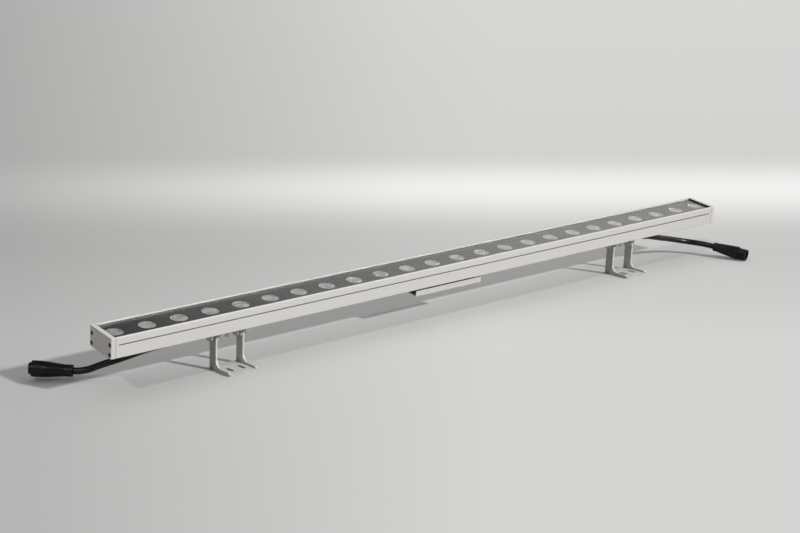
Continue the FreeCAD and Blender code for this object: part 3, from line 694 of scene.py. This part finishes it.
@dataclass
class Floor:
    """A wide pale floor whose colour is painted brighter to one side and dimmer far off, with a
    painted bright band far behind.

    Its painted shading is laid out from the point below the camera, along the camera's line of
    sight. The band and the glow behind it are painted light, emission seen by the camera only, and
    light nothing.

    Attributes:
        half: Half its width.
        below_camera: Point below the camera, where its shading is measured from.
        sight: The camera's line of sight on the ground.
        across: Direction across that.
        near_dim: Its colour near by, on the dim side.
        near_bright: Its colour near by, on the bright side.
        far_dim: Its colour far off, on the dim side.
        far_bright: Its colour far off, on the bright side.
        bounce: Share of its colour that lights the object.
        least_depth: Depth below which the sides stay parallel.
        brightening: Slants between which the dim side turns bright.
        receding: Depths between which near turns far.
        band_depth: Depth of the band's middle.
        band_half: Half the band's width.
        band_glow: Strength of the band on the dim and on the bright side.
        band_slant: Slants between which the band brightens.
        band_ends: Distances to the side between which the band fades out.
        glow_depth: Depths between which the glow behind the band starts.
        glow: Strength of that glow.
        beyond_depth: Depths between which it grows on.
        beyond: How much it grows.
        glow_slant: Slants between which it brightens.
        glow_colour: Colour of the band and the glow.
    """

    half: float = 40.0
    below_camera: Point = (-1.361, -1.5534, 0.0)
    sight: Point = (0.6374, 0.7705, 0.0)
    across: Point = (0.7705, -0.6374, 0.0)
    near_dim: Colour = (0.49, 0.49, 0.485)
    near_bright: Colour = (0.69, 0.69, 0.68)
    far_dim: Colour = (0.41, 0.41, 0.405)
    far_bright: Colour = (0.56, 0.56, 0.55)
    bounce: float = 0.6
    least_depth: float = 1.2
    brightening: Span = (-0.24, 0.06)
    receding: Span = (1.95, 2.4)
    band_depth: float = 2.82
    band_half: float = 0.32
    band_glow: Span = (0.05, 0.24)
    band_slant: Span = (-0.24, 0.0)
    band_ends: Span = (0.9, 1.8)
    glow_depth: Span = (2.15, 2.85)
    glow: float = 0.11
    beyond_depth: Span = (2.85, 5.5)
    beyond: float = 0.035
    glow_slant: Span = (-0.3, 0.0)
    glow_colour: Colour = (1.0, 1.0, 0.99)

    def build(self) -> None:
        Bench.clear()
        bpy.ops.mesh.primitive_plane_add(size=2 * self.half, location=(0.0, 0.0, 0.0))
        floor = bpy.context.object
        floor.name = floor.data.name = "floor"
        material = bpy.data.materials.new("floor")
        material.use_nodes = True
        canvas = Canvas(material.node_tree)
        place = canvas.add("VectorMath", {0: canvas.place(), 1: self.below_camera},
                           operation="SUBTRACT")
        depth, side = (canvas.add("VectorMath", {0: place.outputs[0], 1: direction},
                                  operation="DOT_PRODUCT").outputs["Value"]
                       for direction in (self.sight, self.across))
        slant = canvas.compute("DIVIDE", side, canvas.compute("MAXIMUM", depth, self.least_depth))
        direct = canvas.add("LightPath").outputs["Is Camera Ray"]
        share = canvas.ramp(direct, 0.0, 1.0, self.bounce, 1.0)
        # Painted light: the floor's colour is painted brighter to one side and dimmer far off.
        colour = canvas.blend(share, BLACK, self._tone(canvas, depth, slant))
        # Painted glow: the band and the glow behind it are emission that only camera rays see.
        strength = canvas.compute("MULTIPLY", self._glow(canvas, depth, side, slant), direct)
        shader = canvas.add("BsdfDiffuse", {"Color": colour})
        glow = canvas.add("Emission", {"Color": self.glow_colour, "Strength": strength})
        both = canvas.add("AddShader", {0: shader.outputs[0], 1: glow.outputs[0]})
        canvas.add("OutputMaterial", {"Surface": both.outputs[0]})
        floor.data.materials.append(material)

    def _tone(self, canvas: Canvas, depth: bpy.types.NodeSocket,
              slant: bpy.types.NodeSocket) -> bpy.types.NodeSocket:
        """Blend the floor's four colours, which paint it brighter to one side and dimmer far off as
        painted light.

        Args:
            canvas: The floor material's canvas.
            depth: Distance from the point below the camera, along its line of sight.
            slant: Distance to the side as a share of the depth.

        Returns:
            The colour's socket.
        """
        far = canvas.ramp(depth, *self.receding)
        return canvas.blend(canvas.ramp(slant, *self.brightening),
                            canvas.blend(far, self.near_dim, self.far_dim),
                            canvas.blend(far, self.near_bright, self.far_bright))

    def _glow(self, canvas: Canvas, depth: bpy.types.NodeSocket, side: bpy.types.NodeSocket,
              slant: bpy.types.NodeSocket) -> bpy.types.NodeSocket:
        """Add up the painted bright band and the painted glow behind it.

        Args:
            canvas: The floor material's canvas.
            depth: Distance from the point below the camera, along its line of sight.
            side: Distance to the side.
            slant: Distance to the side as a share of the depth.

        Returns:
            The strength's socket.
        """
        apart = canvas.compute("ABSOLUTE", canvas.compute("SUBTRACT", depth, self.band_depth))
        band = canvas.ramp(apart, 0.0, self.band_half, 1.0, 0.0)
        band.node.interpolation_type = "SMOOTHSTEP"
        peak = canvas.compute("MULTIPLY", band,
                              canvas.ramp(slant, *self.band_slant, *self.band_glow))
        ends = canvas.ramp(canvas.compute("ABSOLUTE", side), *self.band_ends, 1.0, 0.0)
        behind = canvas.compute("ADD", canvas.ramp(depth, *self.glow_depth, 0.0, self.glow),
                                canvas.ramp(depth, *self.beyond_depth, 0.0, self.beyond))
        held = canvas.compute("MULTIPLY", behind, canvas.ramp(slant, *self.glow_slant))
        return canvas.compute("ADD", canvas.compute("MULTIPLY", peak, ends), held)


@dataclass
class Surroundings:
    """A dim fill from above and from the right, with pale ground behind for the camera.

    Attributes:
        backdrop: Colour that the camera sees.
        mirror_turn: Turns to the right between which the reflected side brightens.
        mirror_dark: Colour that reflections show on the left.
        mirror_bright: Colour that reflections show on the right.
        fill_turn: Turns to the right between which the fill brightens.
        fill_dark: The fill from the left.
        fill_bright: The fill from the right.
        above_rise: Heights between which the fill from above starts.
        above: The fill from straight above.
    """

    backdrop: Colour = (0.8, 0.8, 0.8)
    mirror_turn: Span = (0.43, 0.67)
    mirror_dark: Colour = (0.01, 0.01, 0.01)
    mirror_bright: Colour = (0.69, 0.69, 0.67)
    fill_turn: Span = (0.0, 0.9)
    fill_dark: Colour = (0.03, 0.03, 0.03)
    fill_bright: Colour = (0.34, 0.34, 0.34)
    above_rise: Span = (0.15, 0.95)
    above: Colour = (0.5, 0.5, 0.5)

    def build(self) -> None:
        """Make the world."""
        world = bpy.data.worlds.new("studio")
        world.use_nodes = True
        bpy.context.scene.world = world
        canvas = Canvas(world.node_tree)
        path = canvas.add("LightPath").outputs
        toward = canvas.add("SeparateXYZ", {0: canvas.add("TexCoord").outputs["Generated"]}).outputs
        mirrored = canvas.blend(canvas.ramp(toward["X"], *self.mirror_turn),
                                self.mirror_dark, self.mirror_bright)
        level = canvas.blend(canvas.ramp(toward["X"], *self.fill_turn),
                             self.fill_dark, self.fill_bright)
        above = canvas.blend(canvas.ramp(toward["Z"], *self.above_rise), BLACK, self.above)
        fill = canvas.blend(1.0, level, above, "ADD")
        shown = canvas.blend(path["Is Glossy Ray"], fill, mirrored)
        seen = canvas.blend(path["Is Camera Ray"], shown, self.backdrop)
        ground = canvas.add("Background", {"Color": seen, "Strength": 1.0})
        canvas.add("OutputWorld", {"Surface": ground.outputs[0]})


@dataclass
class FarLamp:
    """A lamp so far off that its light comes evenly from one side.

    Attributes:
        name: Its name.
        toward: Direction from the object to it.
        power: Its strength.
        spread: How wide it looks from the object, in degrees.
    """

    name: str
    toward: Point
    power: float
    spread: float = 2.4

    def build(self) -> None:
        """Make the lamp and turn it to the object."""
        data = bpy.data.lights.new(self.name, "SUN")
        data.angle = math.radians(self.spread)
        data.energy = self.power
        lamp = bpy.data.objects.new(self.name, data)
        lamp.location = self.toward
        lamp.rotation_euler = (-Vector(self.toward)).to_track_quat("-Z", "Y").to_euler()
        bpy.context.collection.objects.link(lamp)


@dataclass
class Studio:
    """The floor, the surroundings and the lamps.

    Attributes:
        floor: The floor.
        surroundings: The world round it.
        lamps: The lamps.
    """

    floor: Floor = field(default_factory=Floor)
    surroundings: Surroundings = field(default_factory=Surroundings)
    lamps: Sequence[FarLamp] = (FarLamp("right_front", (1.705, -4.532, 2.568), 2.78),
                                FarLamp("left_front", (-3.498, -1.892, 3.75), 0.533))

    def build(self) -> None:
        """Make every part of the studio."""
        self.floor.build()
        self.surroundings.build()
        for lamp in self.lamps:
            lamp.build()
        bpy.context.scene.view_settings.view_transform = "Standard"


# ------------------------------------------------------------------ leads
class Side(str, Enum):
    """The two ends of the bar."""

    LEFT = "left"
    RIGHT = "right"


@dataclass
class Lead:
    """One cable between its boot under the bar and its connector.

    Attributes:
        side: The end of the bar that it leaves.
        route: Points along it, in metres.
        length: Its length along the curve; not used.
        pieces: Names of the pieces that it carries; not used.
        diameter: Its thickness.
    """

    side: Side
    route: Sequence[Point]
    length: float
    pieces: Sequence[str]
    diameter: float = 0.008

    def build(self, library: MaterialLibrary) -> bpy.types.Object:
        """Args:
            library: The materials.

        Returns:
            The cable.
        """
        node = "cable_" + self.side.value
        data = bpy.data.curves.new("lead_" + self.side.value, "CURVE")
        data.dimensions = "3D"
        data.bevel_depth = 1.0  # the points' radius gives the thickness
        data.bevel_resolution = 8
        data.resolution_u = 16
        data.use_fill_caps = True
        spline = data.splines.new("NURBS")
        spline.points.add(len(self.route) - 1)
        for point, place in zip(spline.points, self.route):
            point.co = (*place, 1.0)
            point.radius = self.diameter / 2
        spline.order_u = 3
        spline.use_endpoint_u = True
        lead = bpy.data.objects.new("lead_" + self.side.value, data)
        bpy.context.collection.objects.link(lead)
        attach(lead, Body.LAMP.value)
        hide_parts(node)
        library.dress(lead, Slot.CABLE_RUBBER)
        return lead


LEAD_LEFT = Lead(
    Side.LEFT,
    [(-0.38498, 0.00534, 0.04672), (-0.39497, 0.00541, 0.0462), (-0.418, 0.0121, 0.0432),
     (-0.437, 0.0266, 0.0358), (-0.453, 0.0411, 0.0271), (-0.47, 0.0561, 0.0196),
     (-0.48599, 0.07085, 0.01073), (-0.4952, 0.0785, 0.0115)],
    0.141, ["socket_body", "socket_insert", "coupling_nut"])
LEAD_RIGHT = Lead(
    Side.RIGHT,
    [(0.38458, 0.00568, 0.04408), (0.40011, 0.00618, 0.04024), (0.4222, 0.0121, 0.034),
     (0.446, 0.0166, 0.0279), (0.4692, 0.0146, 0.022), (0.4835, 0.0061, 0.019),
     (0.49659, -0.01114, 0.01678), (0.5011, -0.0232, 0.015)],
    0.14, ["pin_body", "threaded_ring"])


# ------------------------------------------------------------------ optics
@dataclass
class LensArray:
    """The row of lenses under the glass, modelled once and repeated.

    Attributes:
        count: Number of lenses.
        sides: Sides of their round outline.
        low: Height of their lower end over the bar's underside.
        high: Height of their top over it.
        crown: How far the crown and lip stand over the rim's cylinder.
        rim: Height of that cylinder.
        edge: Width of the slopes beside the lip.
        lip: Width of the lip.
        lip_drop: Depth of the step behind it.
        crown_steps: Rings of the crown.
        flat_top: Radius of its flat middle.
        ledge: Width of the ledge under the rim.
        throat_radius: Outer radius of the cup's lower end.
        throat_wall: Thickness of the wall there.
        throat_depth: Depth of the hollow in it.
        smooth_angle: Edges flatter than this many degrees are shaded smooth.
    """

    count: int = 24
    sides: int = 56
    low: float = 0.0106
    high: float = 0.0201
    crown: float = 0.0011
    rim: float = 0.0015
    edge: float = 0.0002
    lip: float = 0.0007
    lip_drop: float = 0.0005
    crown_steps: int = 6
    flat_top: float = 0.0012
    ledge: float = 0.0004
    throat_radius: float = 0.0052
    throat_wall: float = 0.0018
    throat_depth: float = 0.0032
    smooth_angle: float = 25.0

    def build(self, library: MaterialLibrary) -> None:
        """Model one lens and set a copy on every place.

        Args:
            library: The materials.
        """
        first_low, first_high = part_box("lens_01")
        first = self._model((first_high.x - first_low.x) / 2, (first_low.x + first_high.x) / 2)
        swing(first)
        library.dress(first, Slot.LENS_CLEAR)
        for index in range(2, self.count + 1):
            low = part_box(f"lens_{index:02d}")[0]
            shift = Vector((low.x - first_low.x, 0.0, 0.0))
            twin = Bench.repeat(first, f"lens_body_{index:02d}", shift)
            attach(twin, Body.LAMP.value)
            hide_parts(f"lens_{index:02d}")
        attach(first, Body.LAMP.value)
        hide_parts("lens_01")

    def _model(self, radius: float, x: float) -> bpy.types.Object:
        """A cup that widens upwards to a lipped rim round a low crown, drawn on the upright bar.

        Args:
            radius: Radius of its rim.
            x: Its place along the bar.

        Returns:
            The first lens.
        """
        rim_low = BAR_UNDERSIDE + self.high - self.crown - self.rim
        drop = BAR_UNDERSIDE + self.low - rim_low
        lens = Bench.cylinder("lens_body_01", radius, (x, BAR_PIVOT[1], rim_low), self.rim,
                              self.sides)
        Bench.pick_faces(lens, lambda face: face.normal.z > 0.9)
        Bench.step(self.edge, self.edge)
        Bench.step(self.lip, 0.0)
        Bench.step(self.edge, -self.lip_drop)
        inner = radius - self.lip - 2 * self.edge
        span = inner - self.flat_top
        height = 0.0
        start = self.crown - self.edge + self.lip_drop
        for index in range(1, self.crown_steps + 1):
            reach = 1.0 - index / self.crown_steps * span / inner
            rise = start * (1.0 - reach * reach)
            Bench.step(span / self.crown_steps, rise - height)
            height = rise
        Bench.leave_edit()
        Bench.pick_faces(lens, lambda face: face.normal.z < -0.9)
        Bench.step(self.ledge, 0.0)
        bpy.ops.mesh.extrude_region_move(
            TRANSFORM_OT_translate={"value": (0.0, 0.0, drop)})
        scale = self.throat_radius / (radius - self.ledge)
        bpy.ops.transform.resize(value=(scale, scale, 1.0))
        Bench.step(self.throat_wall, 0.0)
        Bench.step(0.0, self.throat_depth)
        Bench.leave_edit()
        Bench.activate(lens)
        bpy.ops.object.shade_smooth_by_angle(angle=math.radians(self.smooth_angle))
        return lens


@dataclass
class GrooveSealant:
    """The pale dot that closes each end of the bar's two side grooves.

    Attributes:
        radius: Its radius.
        stretch: How much longer it is along the bar.
        flatness: How thick it is for its height.
        reach: Distance from the bar's middle.
        height: Height over the bar's underside.
        proud: How far it stands out of the bar's side.
    """

    radius: float = 0.0008
    stretch: float = 1.5
    flatness: float = 0.7
    reach: float = 0.491
    height: float = 0.01575
    proud: float = 0.0002

    def build(self, library: MaterialLibrary) -> None:
        """Model one dot and repeat it at the four groove ends.

        Args:
            library: The materials.
        """
        side = BAR_HALF_WIDTH - self.radius * self.flatness + self.proud
        Bench.clear()
        bpy.ops.mesh.primitive_uv_sphere_add(segments=16, ring_count=10, radius=self.radius)
        dot = bpy.context.object
        dot.name = dot.data.name = "sealant_front_left"
        dot.scale = (self.stretch, self.flatness, 1.0)
        dot.location = (-self.reach, BAR_PIVOT[1] - side, BAR_UNDERSIDE + self.height)
        Bench.settle(dot)
        swing(dot)
        bpy.ops.object.shade_smooth()
        library.dress(dot, Slot.SEAL_RUBBER, library.special["sealant"])
        across = Vector((2 * self.reach, 0.0, 0.0))
        lean = math.radians(BAR_LEAN)
        back = Vector((0.0, math.cos(lean), math.sin(lean))) * 2 * side
        dots = [dot, Bench.repeat(dot, "sealant_front_right", across),
                Bench.repeat(dot, "sealant_back_left", back),
                Bench.repeat(dot, "sealant_back_right", across + back)]
        for item in dots:
            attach(item, Body.LAMP.value)


# ------------------------------------------------------------------ assembly
@dataclass
class PackedPieces:
    """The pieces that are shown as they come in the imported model.

    Attributes:
    """

    frame: dict = field(repr=False)

    def dress(self, library: MaterialLibrary) -> None:
        """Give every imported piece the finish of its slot.

        Args:
            library: The materials.
        """
        for part in self.frame["record"]["subparts"]:
            node = part["node"]
            slot = Slot(part["material_slot"])
            library.dress(self.frame["nodes"][node], slot, library.special.get(node))
            LOG.info("dressed %s as %s", node, slot.value)


def main() -> None:
    """Build the camera, the leads, the studio and every piece in order."""
    logging.basicConfig(level=logging.INFO, format="%(message)s")
    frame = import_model()
    PhotoCamera().build()
    library = MaterialLibrary()
    PackedPieces(frame).dress(library)
    for lead in (LEAD_LEFT, LEAD_RIGHT):
        LOG.info("made %s", lead.build(library).name)
    Studio().build()
    LensArray().build(library)
    LOG.info("made the lenses")
    GrooveSealant().build(library)
    LOG.info("made the groove sealant")


if __name__ == "__main__":
    main()
